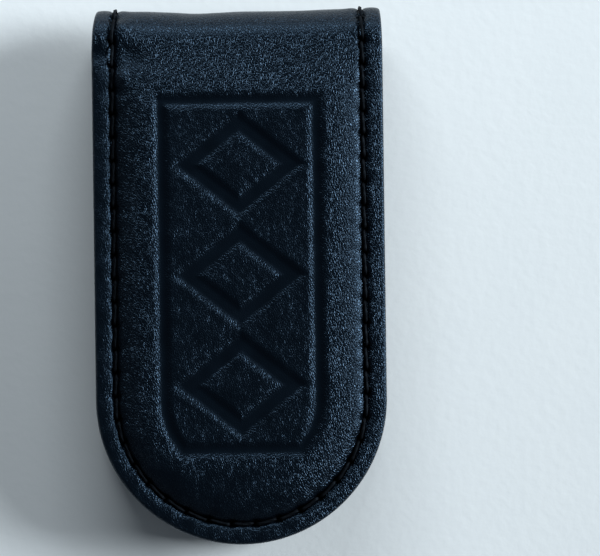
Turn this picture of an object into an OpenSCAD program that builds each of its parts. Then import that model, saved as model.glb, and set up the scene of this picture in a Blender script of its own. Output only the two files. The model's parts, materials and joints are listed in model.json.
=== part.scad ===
// Magnetic money clip: a stitched leather strap, folded in half, with a padded flap at each end.
// X runs across the strap, Y along it towards the fold, and Z up from the face of the back pad.
// The fold is a living hinge: short links, each turning a little about the strap's neutral line.

/* [Strap] */
// Width of the strap
clip_w = 41; // [36:0.5:60]
// Length from the tip of the flaps to the outside of the fold
clip_len = 75.5; // [60:0.5:110]
// Thickness of the outer leather
outer_t = 1.2; // [1:0.05:1.8]
// Thickness of the lining leather
lining_t = 0.8; // [0.6:0.05:1.4]
// Gap between the two linings, which a folded stack of notes fills
bill_gap = 5.4; // [4.4:0.1:10]

/* [Fold] */
// Number of short links that the fold bends through, an even number
fold_links = 6; // [2:2:8]
// Clearance between neighbouring links
link_gap = 0.08; // [0.04:0.01:0.2]

/* [Pad] */
// Distance from the stitch line to the foot of the pad
pad_gap = 0.75; // [0.6:0.05:2]
// Width of the pad's sloping side, seen from above
pad_slope = 4.4; // [2:0.1:6]
// Distance from the outside of the fold to the foot of the pad
pad_start = 7; // [6.5:0.5:15]

/* [Stiffener board and magnets] */
// Thickness of a magnet and of the board that holds it
core_t = 1.4; // [1:0.05:2]
// Distance from the foot of the pad to the edge of the board
board_side = 3.4; // [3:0.1:5]
// Diameter of a magnet
magnet_d = 15; // [8:0.5:19]
// Chamfer on the rims of a magnet
magnet_chamfer = 0.2; // [0.1:0.05:0.4]
// Width of board left above the upper magnet
magnet_web = 3; // [1.5:0.5:8]
// Clearance around the board and around each magnet
core_clear = 0.05; // [0.02:0.01:0.15]

/* [Stitching] */
// Distance from the strap's edge to the stitch line
stitch_inset = 2.85; // [2:0.05:4]
// Length of a stitch
stitch_pitch = 3.3; // [2.5:0.1:5]
// Diameter of the thread
thread_d = 0.5; // [0.3:0.05:0.7]
// Diameter of the thread where it turns down into a hole
leg_d = 0.4; // [0.25:0.05:0.5]
// Height of the needle thread above the outer leather
needle_proud = 0.2; // [0:0.05:0.3]
// Height of the bobbin thread above the lining
bobbin_proud = 0.3; // [0.1:0.05:0.4]
// Diameter of a needle hole
hole_d = 1; // [0.8:0.05:1.1]
// Width of the groove that the thread lies in
groove_w = 0.8; // [0.6:0.05:1]
// Clearance under the thread and between the two threads
thread_clear = 0.05; // [0.02:0.01:0.1]

/* [Pressed ornament] */
// Depth of the ornament
press_depth = 0.3; // [0.1:0.05:0.5]
// Distance from the rim of the pad's flat top to the ornament
press_margin = 0.85; // [0.5:0.05:3]
// Distance from the round end of the pad's flat top to the ornament's straight end
press_end = 4.6; // [2:0.1:8]
// Width of the ornament's border line
border_w = 1.5; // [0.8:0.1:3]
// Number of lozenges
lozenges = 3; // [1:1:4]
// Gap from each lozenge to the border line and to the next lozenge
lozenge_gap = 1; // [0.5:0.1:3]
// Width of the line that draws a lozenge, measured along the lozenge's width
lozenge_line = 3.6; // [1:0.1:5]

/* [Hidden] */
$fn = 64;
side_names = ["back", "front"];
flap_parts = ["outer_leather", "lining", "board", "upper_magnet", "lower_magnet",
              "needle_thread", "bobbin_thread"];
fold_parts = ["outer_leather_fold", "lining_fold", "needle_thread_fold", "bobbin_thread_fold"];

// Radii of the fold: lining face, seam between the leathers, outer face and neutral line
in_r = bill_gap / 2;
mid_r = in_r + lining_t;
out_r = mid_r + outer_t;
neutral_r = in_r + (outer_t + lining_t) / 2;
// Angle of one link, and the radius at which neighbouring links are hinged
link_a = 180 / (fold_links + 1);
hinge_r = neutral_r / cos(link_a / 2);

// Height that the board and its clearances give the pad
pad_rise = core_t + 2 * core_clear;
fold_z = pad_rise + out_r;

// Places along the strap: the tip, the centre of the round end and the start of the fold
tip_y = -(clip_len + needle_proud) / 2;
end_y = tip_y + clip_w / 2;
fold_y = tip_y + clip_len - out_r;

// Stitch line, as its distance from the strap's centre line, and the depths of its two grooves
stitch_x = clip_w / 2 - stitch_inset;
needle_groove = thread_d - needle_proud + thread_clear;
bobbin_groove = thread_d - bobbin_proud + thread_clear;
needle_r = out_r + needle_proud - thread_d / 2;
bobbin_r = in_r - bobbin_proud + thread_d / 2;

// First hole on each flap: the fold's own holes are at every second link
front_first_y = fold_y;
back_first_y = fold_y - neutral_r * link_a * PI / 180;

// Pad, board and magnets
pad_foot = stitch_x - pad_gap;
pad_top = pad_foot - pad_slope;
pad_end_y = fold_y + out_r - pad_start;
board_half_w = pad_foot - board_side;
board_end_y = pad_end_y - board_side;
upper_magnet_y = board_end_y - magnet_web - magnet_d / 2;
lower_magnet_y = end_y;

// Ornament
press_half_w = pad_top - press_margin;
press_low_y = end_y - pad_top + press_end;
press_high_y = pad_end_y - pad_slope - press_margin;
lozenge_low_y = press_low_y + border_w + lozenge_gap / 2;
lozenge_pitch = (press_high_y - press_low_y - 2 * border_w - lozenge_gap) / lozenges;
lozenge_half_w = press_half_w - border_w - lozenge_gap;
lozenge_half_h = (lozenge_pitch - lozenge_gap) / 2;

// Overshoot of a cut past the face that it opens
over = 1;

leather_colour = [0.11, 0.14, 0.18];
lining_colour = [0.09, 0.1, 0.12];
board_colour = [0.45, 0.36, 0.26];
magnet_colour = [0.75, 0.75, 0.77];
thread_colour = [0.05, 0.05, 0.06];

function seam_length(first_y) = 2 * (first_y - end_y) + PI * stitch_x;

function seam_stitches(first_y) = round(seam_length(first_y) / stitch_pitch);

// Point at distance s along the seam: down the left side, round the end and up the right side
function seam_point(s, first_y) =
    let (side = first_y - end_y, turn = PI * stitch_x, a = 180 + (s - side) / stitch_x * 180 / PI)
    s < side ? [-stitch_x, first_y - s, 0]
    : s > side + turn ? [stitch_x, end_y + s - side - turn, 0]
    : [stitch_x * cos(a), end_y + stitch_x * sin(a), 0];

// Turns its children into the front flap's place, as the mirror image of the back flap
module on_front() {
    translate([0, 0, 2 * fold_z]) mirror([0, 0, 1]) children();
}

// Places its children at an angle round the fold: X then points outwards and Z across the strap
module at_fold(a) {
    translate([0, fold_y, fold_z]) rotate([0, 90, 0]) rotate([0, 0, a]) children();
}

// Bends a profile, drawn as radius by width, round the fold between two angles
module fold_arc(a0, a1) {
    at_fold(a0) rotate_extrude(angle = a1 - a0) children();
}

// Gap at hinge k: parallel inside the hinge, and outside it wide enough to close when laid flat
module slit(k) {
    gap = link_gap / 2;
    far_r = out_r + over;
    far = (far_r - hinge_r) * tan(link_a / 2) + gap;
    near_r = in_r - over;
    at_fold((k - 0.5) * link_a) translate([0, 0, -clip_w / 2 - over])
        linear_extrude(clip_w + 2 * over)
            polygon([[near_r, -gap], [hinge_r, -gap], [far_r, -far],
                     [far_r, far], [hinge_r, gap], [near_r, gap]]);
}

// Outline with one round end, from the round end's centre line up to a straight end
module tongue(half_w, straight_y) {
    translate([0, end_y]) circle(r = half_w);
    translate([-half_w, end_y]) square([2 * half_w, straight_y - end_y]);
}

// One layer of a flap, between two radii of the fold, with its first part of the bend
module layer_flap(r0, r1) {
    translate([0, 0, fold_z - r1]) linear_extrude(r1 - r0) tongue(clip_w / 2, fold_y);
    fold_arc(0, link_a / 2) layer_profile(r0, r1);
}

module layer_profile(r0, r1) {
    translate([r0, -clip_w / 2]) square([r1 - r0, clip_w]);
}

// Groove for the thread in one face of a flap, from its depth r0 to r1
module groove_flap(r0, r1) {
    for (side = [-1, 1]) translate([side * stitch_x - groove_w / 2, end_y, fold_z - r1])
        cube([groove_w, fold_y - end_y, r1 - r0]);
    translate([0, end_y, fold_z - r1]) rotate([0, 0, 180]) rotate_extrude(angle = 180)
        translate([stitch_x - groove_w / 2, 0]) square([groove_w, r1 - r0]);
    fold_arc(0, link_a / 2 + 1) groove_profile(r0, r1);
}

module groove_profile(r0, r1) {
    for (side = [-1, 1]) translate([r0, side * stitch_x - groove_w / 2]) square([r1 - r0, groove_w]);
}

// Needle holes through a flap
module holes_flap(first_y) {
    stitches = seam_stitches(first_y);
    for (i = [0:stitches]) translate(seam_point(i * seam_length(first_y) / stitches, first_y))
        translate([0, 0, fold_z - out_r - over]) cylinder(d = hole_d, h = out_r - in_r + 2 * over);
}

// Needle holes through one link of the fold: the odd links have them
module holes_link(k) {
    if (k % 2 == 1) for (side = [-1, 1]) at_fold(k * link_a)
        translate([in_r - over, 0, side * stitch_x]) rotate([0, 90, 0])
            cylinder(d = hole_d, h = out_r - in_r + 2 * over);
}

// Raised pad: straight sides, a round end and a slope towards the fold
module pad() {
    length = pad_end_y - end_y;
    intersection() {
        translate([0, pad_end_y, 0]) rotate([90, 0, 0]) linear_extrude(length)
            polygon([[-pad_foot, pad_rise], [-pad_top, 0], [pad_top, 0], [pad_foot, pad_rise]]);
        translate([-pad_foot, 0, 0]) rotate([90, 0, 90]) linear_extrude(2 * pad_foot)
            polygon([[end_y, pad_rise], [end_y, 0], [pad_end_y - pad_slope, 0], [pad_end_y, pad_rise]]);
    }
    translate([0, end_y, 0]) rotate([0, 0, 180]) rotate_extrude(angle = 180)
        polygon([[0, 0], [pad_top, 0], [pad_foot, pad_rise], [0, pad_rise]]);
}

// Outline of the board, or of the hollow that takes it
module board_outline(clear) {
    tongue(board_half_w + clear, board_end_y + clear);
}

// Pressed ornament: a border line that follows the pad, round a column of lozenges
module ornament() {
    difference() {
        ornament_outline(0);
        ornament_outline(border_w);
    }
    for (i = [0:lozenges - 1]) translate([0, lozenge_low_y + (i + 0.5) * lozenge_pitch]) difference() {
        lozenge(lozenge_half_w, lozenge_half_h);
        lozenge(lozenge_half_w - lozenge_line, lozenge_half_h * (1 - lozenge_line / lozenge_half_w));
    }
}

module ornament_outline(inset) {
    intersection() {
        tongue(press_half_w - inset, press_high_y - inset);
        translate([-press_half_w, press_low_y + inset])
            square([2 * press_half_w, press_high_y - press_low_y]);
    }
}

module lozenge(half_w, half_h) {
    polygon([[-half_w, 0], [0, -half_h], [half_w, 0], [0, half_h]]);
}

// Outer leather of one flap, moulded over the board
module outer_leather(first_y, pressed) {
    color(leather_colour) difference() {
        union() {
            layer_flap(mid_r, out_r);
            pad();
        }
        translate([0, 0, outer_t]) linear_extrude(pad_rise + over) board_outline(core_clear);
        groove_flap(out_r - needle_groove, out_r + over);
        holes_flap(first_y);
        slit(1);
        if (pressed) translate([0, 0, -over]) linear_extrude(press_depth + over) ornament();
    }
}

// Lining of one flap
module lining(first_y) {
    color(lining_colour) difference() {
        layer_flap(in_r, mid_r);
        groove_flap(in_r - over, in_r + bobbin_groove);
        holes_flap(first_y);
        slit(1);
    }
}

// Stiffener board between the leathers, with a pocket for each magnet
module board() {
    color(board_colour) translate([0, 0, outer_t + core_clear]) difference() {
        linear_extrude(core_t) board_outline(0);
        for (y = [upper_magnet_y, lower_magnet_y]) translate([0, y, -over])
            cylinder(d = magnet_d + 2 * core_clear, h = core_t + 2 * over);
    }
}

// Disc magnet with chamfered rims
module magnet(y) {
    r = magnet_d / 2;
    c = magnet_chamfer;
    color(magnet_colour) translate([0, y, outer_t + core_clear]) rotate_extrude()
        polygon([[0, 0], [r - c, 0], [r, c], [r, core_t - c], [r - c, core_t], [0, core_t]]);
}

// Thread of one flap, laid at radius r, with a leg in each hole that ends at radius leg_r
module thread_flap(r, leg_r, first_y) {
    stitches = seam_stitches(first_y);
    color(thread_colour) difference() {
        union() {
            for (side = [-1, 1]) translate([side * stitch_x, end_y, fold_z - r]) rotate([-90, 0, 0])
                cylinder(d = thread_d, h = fold_y - end_y);
            translate([0, end_y, fold_z - r]) rotate([0, 0, 180]) rotate_extrude(angle = 180)
                translate([stitch_x, 0]) circle(d = thread_d);
            fold_arc(0, link_a / 2) thread_profile(r);
            for (i = [0:stitches])
                translate(seam_point(i * seam_length(first_y) / stitches, first_y))
                    translate([0, 0, fold_z - max(r, leg_r)]) cylinder(d = leg_d, h = abs(r - leg_r));
        }
        slit(1);
    }
}

module thread_profile(r) {
    for (side = [-1, 1]) translate([r, side * stitch_x]) circle(d = thread_d);
}

// Thread on link k of the fold: the odd links have a leg in their holes
module thread_link(r, leg_r, k) {
    color(thread_colour) difference() {
        union() {
            fold_arc((k - 0.5) * link_a, (k + 0.5) * link_a) thread_profile(r);
            if (k % 2 == 1) for (side = [-1, 1]) at_fold(k * link_a)
                translate([min(r, leg_r), 0, side * stitch_x]) rotate([0, 90, 0])
                    cylinder(d = leg_d, h = abs(r - leg_r));
        }
        slit(k);
        slit(k + 1);
    }
}

module needle_thread(first_y) {
    thread_flap(needle_r, neutral_r + thread_clear, first_y);
}

module bobbin_thread(first_y) {
    thread_flap(bobbin_r, neutral_r - thread_clear, first_y);
}

// Outer leather on link k of the fold
module outer_leather_fold(k) {
    color(leather_colour) difference() {
        fold_arc((k - 0.5) * link_a, (k + 0.5) * link_a) difference() {
            layer_profile(mid_r, out_r);
            groove_profile(out_r - needle_groove, out_r + over);
        }
        holes_link(k);
        slit(k);
        slit(k + 1);
    }
}

// Lining on link k of the fold
module lining_fold(k) {
    color(lining_colour) difference() {
        fold_arc((k - 0.5) * link_a, (k + 0.5) * link_a) difference() {
            layer_profile(in_r, mid_r);
            groove_profile(in_r - over, in_r + bobbin_groove);
        }
        holes_link(k);
        slit(k);
        slit(k + 1);
    }
}

module needle_thread_fold(k) {
    thread_link(needle_r, neutral_r + thread_clear, k);
}

module bobbin_thread_fold(k) {
    thread_link(bobbin_r, neutral_r - thread_clear, k);
}

outer_leather(back_first_y, false);  // back_outer_leather
lining(back_first_y);  // back_lining
board();  // back_board
magnet(upper_magnet_y);  // back_upper_magnet
magnet(lower_magnet_y);  // back_lower_magnet
needle_thread(back_first_y);  // back_needle_thread
bobbin_thread(back_first_y);  // back_bobbin_thread

on_front() outer_leather(front_first_y, true);  // front_outer_leather
on_front() lining(front_first_y);  // front_lining
on_front() board();  // front_board
on_front() magnet(upper_magnet_y);  // front_upper_magnet
on_front() magnet(lower_magnet_y);  // front_lower_magnet
on_front() needle_thread(front_first_y);  // front_needle_thread
on_front() bobbin_thread(front_first_y);  // front_bobbin_thread

for (k = [1:fold_links]) {
    outer_leather_fold(k);
    lining_fold(k);
    needle_thread_fold(k);
    bobbin_thread_fold(k);
}
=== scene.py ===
"""Looks of a magnetic money clip: a stitched strap of two leathers, folded in half over two boards.

Strap coordinates are in millimetres: u runs across the strap, s along its neutral line from the
middle of the fold, positive on the front flap, and h outwards from the neutral line.
"""

import json
import logging
import math
from dataclasses import dataclass, field
from enum import Enum
from typing import Any, Callable, Sequence

import bpy
import numpy as np
from mathutils import Matrix, Vector


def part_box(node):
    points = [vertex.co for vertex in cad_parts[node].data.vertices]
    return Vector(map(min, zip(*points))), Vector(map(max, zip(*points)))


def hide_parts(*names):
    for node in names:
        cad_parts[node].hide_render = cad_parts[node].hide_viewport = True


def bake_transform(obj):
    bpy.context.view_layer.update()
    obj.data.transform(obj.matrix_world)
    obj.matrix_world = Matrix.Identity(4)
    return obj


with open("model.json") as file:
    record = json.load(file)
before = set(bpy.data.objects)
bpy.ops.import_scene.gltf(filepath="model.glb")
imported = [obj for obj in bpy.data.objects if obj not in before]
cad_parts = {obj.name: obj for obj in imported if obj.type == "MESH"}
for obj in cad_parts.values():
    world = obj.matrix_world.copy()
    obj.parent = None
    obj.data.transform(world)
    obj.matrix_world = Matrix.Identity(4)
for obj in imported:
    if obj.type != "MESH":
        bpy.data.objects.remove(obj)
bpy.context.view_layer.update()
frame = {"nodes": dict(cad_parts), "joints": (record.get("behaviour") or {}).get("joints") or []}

LOG = logging.getLogger("money_clip")
MM = 0.001
UV_NAME = "Strap"
Array = np.ndarray
Pair = tuple[float, float]
Colour = tuple[float, float, float]
Point = tuple[float, float, float]
Face = tuple[int, ...]
Stitch = tuple[Pair, Pair]


def ramp(x: Array, low: float, high: float) -> Array:
    """Smooth step from 0 at low to 1 at high.

    Args:
        x: Values to map.
        low: Value that gives 0.
        high: Value that gives 1, which may lie below low.

    Returns:
        The smoothed values.
    """
    t = np.clip((x - low) / (high - low), 0, 1)
    return t * t * (3 - 2 * t)


def bell(x: Array, width: float) -> Array:
    """Gaussian bump of height 1 at x = 0, which falls to 1/e at width."""
    return np.exp(-((x / width) ** 2))


def waves(u: Array, s: Array, seed: int, length: float, count: int = 6,
          shortest: float = 0.7, spread: float = 0.8) -> Array:
    """Gentle, repeatable unevenness made of a few plane waves.

    Args:
        u: Positions across, in millimetres.
        s: Positions along, in millimetres.
        seed: Seed of the waves' directions and phases.
        length: Mean wavelength in millimetres.
        count: Number of waves.
        shortest: Shortest wave, as a share of the mean length.
        spread: How much longer the longest is, as such a share.

    Returns:
        Heights of about -0.6 to 0.6.
    """
    rng = np.random.default_rng(seed)
    total = np.zeros(np.broadcast(u, s).shape)
    for _ in range(count):
        angle, phase, stretch = rng.uniform(0, (math.tau, math.tau, 1))
        k = math.tau / (length * (shortest + spread * stretch))
        total += np.sin(k * (u * math.cos(angle) + s * math.sin(angle)) + phase)
    return total / count


def rounding(inset: Array, radius: float) -> Array:
    """Fall of a face towards its rounded edge, which reaches the radius at the edge itself."""
    left = 1 - np.clip(inset / radius, 0, 1)
    return radius * (1 - np.sqrt(np.clip(1 - left**2, 0, 1)))


class Flap(Enum):
    """The two flaps, with the sign of s on each."""

    BACK = -1
    FRONT = 1


@dataclass(frozen=True)
class Strap:
    """Lengths of the folded strap in millimetres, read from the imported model."""

    half_w: float
    fold_y: float
    fold_z: float
    neutral_r: float
    tip_y: float
    board_y: float
    links: int
    face_h: float = 1.0
    seam_h: float = -0.2
    pad_rise: float = 1.5
    stitch_inset: float = 2.85
    stitch_pitch: float = 3.3

    @classmethod
    def read(cls) -> "Strap":
        """Takes the strap's lengths from the CAD nodes and joints.

        Returns:
            The strap.
        """
        low, high = (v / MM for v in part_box("front_outer_leather"))
        hinge = next(j for j in frame["joints"] if j["name"] == "fold_hinge_1")
        links = len(frame["joints"]) - 1
        fold_z = high.z / 2
        neutral_r = fold_z - hinge["pos_m"][2] / MM
        fold_y = hinge["pos_m"][1] / MM - neutral_r * math.tan(math.pi / (links + 1) / 2)
        board_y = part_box("front_board")[1].y / MM
        return cls(high.x, fold_y, fold_z, neutral_r, low.y, board_y, links)

    @property
    def link_angle(self) -> float:
        """Angle that one link takes up in the fold, in radians."""
        return math.pi / (self.links + 1)

    @property
    def fold_s(self) -> float:
        """Place along the strap where the fold meets a flat flap."""
        return self.neutral_r * math.pi / 2

    @property
    def end_s(self) -> float:
        """Place along the strap of the round end's centre."""
        return self.fold_s + self.fold_y - self.tip_y - self.half_w

    @property
    def stitch_r(self) -> float:
        """Distance of the stitch line from the strap's centre line."""
        return self.half_w - self.stitch_inset

    @property
    def fold_pitch(self) -> float:
        """Length of a stitch in the fold, whose holes are at every second link."""
        return 2 * self.link_angle * self.neutral_r

    def magnets(self) -> tuple[float, ...]:
        """Finds a flap's magnets.

        Returns:
            Their places along the strap.
        """
        found = [n for n in sorted(frame["nodes"]) if "front" in n and n.endswith("magnet")]
        boxes = [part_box(name) for name in found]
        return tuple(self.fold_s + self.fold_y - (low.y + high.y) / 2 / MM for low, high in boxes)

    def seam(self, k: int) -> float:
        """Place along the strap of the middle of link k, where two pieces meet."""
        return self.neutral_r * (k * self.link_angle - math.pi / 2)

    def first_hole(self, flap: Flap) -> float:
        """Distance from the fold's middle to a flap's own first needle hole."""
        return self.fold_s + (self.fold_pitch / 2 if flap is Flap.BACK else 0)

    def pitch(self, flap: Flap) -> float:
        """Length of a stitch on a flap, so that a whole number goes round it."""
        length = 2 * (self.end_s - self.first_hole(flap)) + math.pi * self.stitch_r
        return length / round(length / self.stitch_pitch)

    def phase(self, sigma: Array) -> Array:
        """Place between two needle holes.

        Args:
            sigma: Distance along the stitch line, with the sign of s.

        Returns:
            0 at a hole, rising to 1 at the next.
        """
        front, back = self.first_hole(Flap.FRONT), self.first_hole(Flap.BACK)
        t = (sigma + back) / self.fold_pitch
        t = np.where(sigma > front, (sigma - front) / self.pitch(Flap.FRONT), t)
        t = np.where(sigma < -back, (-back - sigma) / self.pitch(Flap.BACK), t)
        return t - np.floor(t)

    def place(self, u: Array, s: Array, h: Array) -> Array:
        """Turns strap coordinates into points.

        Args:
            u: Positions across.
            s: Positions along.
            h: Heights above the neutral line.

        Returns:
            Points in millimetres, with the coordinates on the last axis.
        """
        bend = np.clip(s / self.neutral_r, -math.pi / 2, math.pi / 2)
        straight = np.abs(s - bend * self.neutral_r)
        r = self.neutral_r + h
        y = self.fold_y + r * np.cos(bend) - straight
        z = self.fold_z + r * np.sin(bend)
        return np.stack(np.broadcast_arrays(u, y, z), axis=-1)


STRAP = Strap.read()


@dataclass(frozen=True)
class Spots:
    """Points of a layer in strap coordinates, with their inset from the edge.

    sigma is the place along the stitch line that a point lies beside.
    """

    u: Array
    s: Array
    inset: Array
    sigma: Array

    @property
    def y(self) -> Array:
        """Distance along Y of the points on the flat flaps."""
        return STRAP.fold_y - (np.abs(self.s) - STRAP.fold_s)

    def hole(self, width: float) -> Array:
        """Nearness to a needle hole.

        Args:
            width: Radius at which it has fallen to 1/e.

        Returns:
            1 at the middle of a hole, falling to 0.
        """
        phase = STRAP.phase(self.sigma)
        along = np.minimum(phase, 1 - phase) * STRAP.stitch_pitch
        return bell(np.hypot(along, self.inset - STRAP.stitch_inset), width)

    def first(self, count: int) -> "Spots":
        """The first points of every station."""
        return Spots(*(v[:, :count] for v in (self.u, self.s, self.inset, self.sigma)))

    @classmethod
    def join(cls, grids: Sequence["Spots"]) -> "Spots":
        """Puts the stations of several grids one after the other."""
        columns = zip(*((g.u, g.s, g.inset, g.sigma) for g in grids))
        return cls(*(np.concatenate(column) for column in columns))


@dataclass(frozen=True)
class Ornament:
    """Pressed ornament: a border line round a column of lozenges."""

    half_w: float = 11.65
    below_end: float = 7.9
    below_board: float = 1.85
    border: float = 1.5
    lozenges: int = 3
    gap: float = 1.0
    line: float = 3.6
    depth: float = 0.3
    edge: float = 1.3
    plate_share: float = 0.5
    plate_fade: Pair = (2.5, -1.0)

    def outline(self, x: Array, y: Array) -> tuple[Array, float, float]:
        """Border's outer edge.

        Args:
            x: Positions across.
            y: Positions along.

        Returns:
            Distances outside the edge, then its lowest and highest y.
        """
        end_y = STRAP.tip_y + STRAP.half_w
        low_y, high_y = end_y - self.below_end, STRAP.board_y - self.below_board
        outline = np.hypot(x, np.minimum(y - end_y, 0)) - self.half_w
        return np.maximum(outline, np.maximum(y - high_y, low_y - y)), low_y, high_y

    def calmed(self, x: Array, y: Array) -> Array:
        """Share of the grain that the press has taken off: all in the lines, some on the rest."""
        plate = ramp(self.outline(x, y)[0], *self.plate_fade)
        return np.maximum(self.pressed(x, y), self.plate_share * plate)

    def pressed(self, x: Array, y: Array) -> Array:
        """How far the leather is pressed in.

        Args:
            x: Positions across.
            y: Positions along.

        Returns:
            0 on the open leather and 1 on the floor of the ornament.
        """
        outline, low_y, high_y = self.outline(x, y)
        nearest = np.maximum(outline, -outline - self.border)
        low = low_y + self.border + self.gap / 2
        pitch = (high_y - low_y - 2 * self.border - self.gap) / self.lozenges
        half_w, half_h = self.half_w - self.border - self.gap, (pitch - self.gap) / 2
        slope = 1 / math.hypot(1 / half_w, 1 / half_h)
        for i in range(self.lozenges):
            size = np.abs(x) / half_w + np.abs(y - low - (i + 0.5) * pitch) / half_h
            ring = np.maximum(size - 1, 1 - self.line / half_w - size) * slope
            nearest = np.minimum(nearest, ring)
        return ramp(nearest, self.edge / 2, -self.edge / 2)


@dataclass(frozen=True)
class Sway:
    """How the fold pulls the strap out of true: a saddle, a dip in it, and the sides drawn in."""

    sag: float = 0.19
    sag_half_w: float = 17.0
    sag_least: float = -0.3
    dip: float = 0.2
    dip_u: float = -5.5
    dip_width: float = 4.5
    sag_length: float = 4.2
    draw_in: float = 0.027
    draw_in_right: float = 0.012
    draw_length: float = 3.6

    def bend(self, spots: Spots) -> tuple[Array, Array]:
        """Shift of each point.

        Args:
            spots: Points of the layer.

        Returns:
            The factor on u, and the height to add.
        """
        across = self.sag * np.clip(1 - (spots.u / self.sag_half_w) ** 2, self.sag_least, 1)
        across = across + self.dip * bell(spots.u - self.dip_u, self.dip_width)
        saddle = -across * bell(spots.s, self.sag_length)
        draw = np.where(spots.u > 0, self.draw_in_right, self.draw_in)
        return 1 - draw * bell(spots.s, self.draw_length), saddle


@dataclass(frozen=True)
class Ripple:
    """Gentle unevenness of the leather, which fades out at the edge."""

    seed: int
    height: float
    length: float
    full_inset: float
    fade_inset: float = 0.3

    def on(self, spots: Spots) -> Array:
        """Height that it adds at each point."""
        ripple = self.height * waves(spots.u, spots.s, self.seed, self.length)
        return ripple * ramp(spots.inset, self.fade_inset, self.full_inset)


@dataclass(frozen=True)
class Puff:
    """A small round swelling of the leather."""

    u: float
    s: float
    width: float
    height: float

    def on(self, spots: Spots) -> Array:
        """Height that it adds at each point."""
        return self.height * bell(np.hypot(spots.u - self.u, spots.s - self.s), self.width)


@dataclass(frozen=True)
class Crease:
    """A dent across the strap, between two distances from its middle."""

    s: float
    width: float
    depth: float
    start: float
    end: float
    tilt: float = 0.0
    turn_u: float = -17.0

    def on(self, spots: Spots, u: Array) -> Array:
        """Height that it adds.

        Args:
            spots: The points.
            u: Their positions across, or the distances from the middle for a dent on both sides.

        Returns:
            The heights, which are negative.
        """
        line = spots.s - self.s - self.tilt * (spots.u - self.turn_u)
        return -self.depth * bell(line, self.width) * ramp(u, self.start, self.end)


@dataclass(frozen=True)
class OuterRelief:
    """Heights of the outer leather's face above its plain level."""

    sway: Sway = Sway()
    ornament: Ornament = Ornament()
    slope_start: float = 3.1
    slope_width: float = 5.9
    slope_power: float = 2.5
    fold_start: float = 2.8
    fold_end: float = 15.5
    round_r: float = 0.45
    rim_start: float = 0.2
    rim_width: float = 2.3
    rim_puff: float = 0.13
    rim_even: float = 0.55
    valley: float = 0.3
    valley_width: float = 0.42
    pit: float = 0.6
    pit_width: float = 0.56
    inner_inset: float = 4.1
    inner_width: float = 0.75
    inner_puff: float = 0.12
    inner_even: float = 0.6
    inner_at_fold: float = 0.9
    fold_puffs_s: float = 7.5
    fold_puffs_length: float = 6.0
    broad: Ripple = Ripple(11, 0.06, 9.0, 2.5)
    small: Ripple = Ripple(12, 0.03, 3.2, 1.5)
    rubbed: float = 0.45
    rubbed_rim: tuple[Pair, Pair] = ((3.2, 2.4), (5.0, -10.0))
    rubbed_tip: tuple[Pair, Pair] = ((-21.0, -29.0), (13.0, 4.0))
    left_crease: Crease = Crease(7.4, 1.45, 0.5, -11.5, -16.0, tilt=0.05)
    right_crease: Crease = Crease(6.3, 0.7, 0.16, 15.0, 18.5)
    back_crease: Crease = Crease(-6.9, 0.8, 0.22, 12.0, 17.5)
    puffs: tuple[Puff, Puff] = (Puff(-16.0, 10.7, 1.3, 0.34), Puff(-16.2, 4.0, 1.15, 0.22))

    def pad(self, spots: Spots) -> Array:
        """Share of the pad's full height, from 0 on the rim to 1 over the board."""
        left = 1 - np.clip((spots.inset - self.slope_start) / self.slope_width, 0, 1)
        return (1 - left**self.slope_power) * ramp(np.abs(spots.s), self.fold_start, self.fold_end)

    def pits(self, spots: Spots) -> Array:
        """Share of a needle hole's depth, 1 at its middle."""
        return spots.hole(self.pit_width)

    def pressed(self, spots: Spots) -> Array:
        """Depth share of the pressed ornament, which only the front flap has."""
        return np.where(spots.s > STRAP.fold_s, self.ornament.pressed(spots.u, spots.y), 0.0)

    def calmed(self, spots: Spots) -> Array:
        """Share of the grain that the ornament's press and the rubbing of a pocket have taken off.

        Args:
            spots: Points of the face.

        Returns:
            0 for full grain and 1 for none.
        """
        rim = ramp(spots.inset, *self.rubbed_rim[0]) * ramp(spots.u, *self.rubbed_rim[1])
        tip = ramp(spots.y, *self.rubbed_tip[0]) * ramp(spots.u, *self.rubbed_tip[1])
        plate = self.ornament.calmed(spots.u, spots.y)
        share = np.maximum(plate, self.rubbed * np.maximum(rim, tip))
        return np.where(spots.s > STRAP.fold_s, share, 0.0)

    def height(self, spots: Spots) -> Array:
        """Height of the face.

        Args:
            spots: Points of the face.

        Returns:
            Millimetres above the plain level.
        """
        w = spots.inset
        swell = np.sin(math.pi * STRAP.phase(spots.sigma)) ** 2
        rim = np.sin(math.pi * np.clip((w - self.rim_start) / self.rim_width, 0, 1))
        rim = rim * (self.rim_even + (1 - self.rim_even) * swell)
        near_fold = bell(np.abs(spots.s) - self.fold_puffs_s, self.fold_puffs_length)
        pillow = swell * bell(w - self.inner_inset, self.inner_width)
        pillow = pillow * (self.inner_even + self.inner_at_fold * near_fold)
        height = STRAP.pad_rise * self.pad(spots) - self.ornament.depth * self.pressed(spots)
        height += self.rim_puff * rim + self.inner_puff * pillow
        height -= self.valley * bell(w - STRAP.stitch_inset, self.valley_width)
        height -= self.pit * self.pits(spots) + rounding(w, self.round_r)
        height += self.broad.on(spots)
        height += self.small.on(spots)
        return height + self.creases(spots)

    def creases(self, spots: Spots) -> Array:
        """Creases and puffs that the fold has left beside the stitch lines.

        Args:
            spots: Points of the face.

        Returns:
            Heights to add.
        """
        front = self.left_crease.on(spots, spots.u) + self.right_crease.on(spots, spots.u)
        front = front + sum(puff.on(spots) for puff in self.puffs)
        return np.where(spots.s > 0, front, self.back_crease.on(spots, np.abs(spots.u)))


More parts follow.
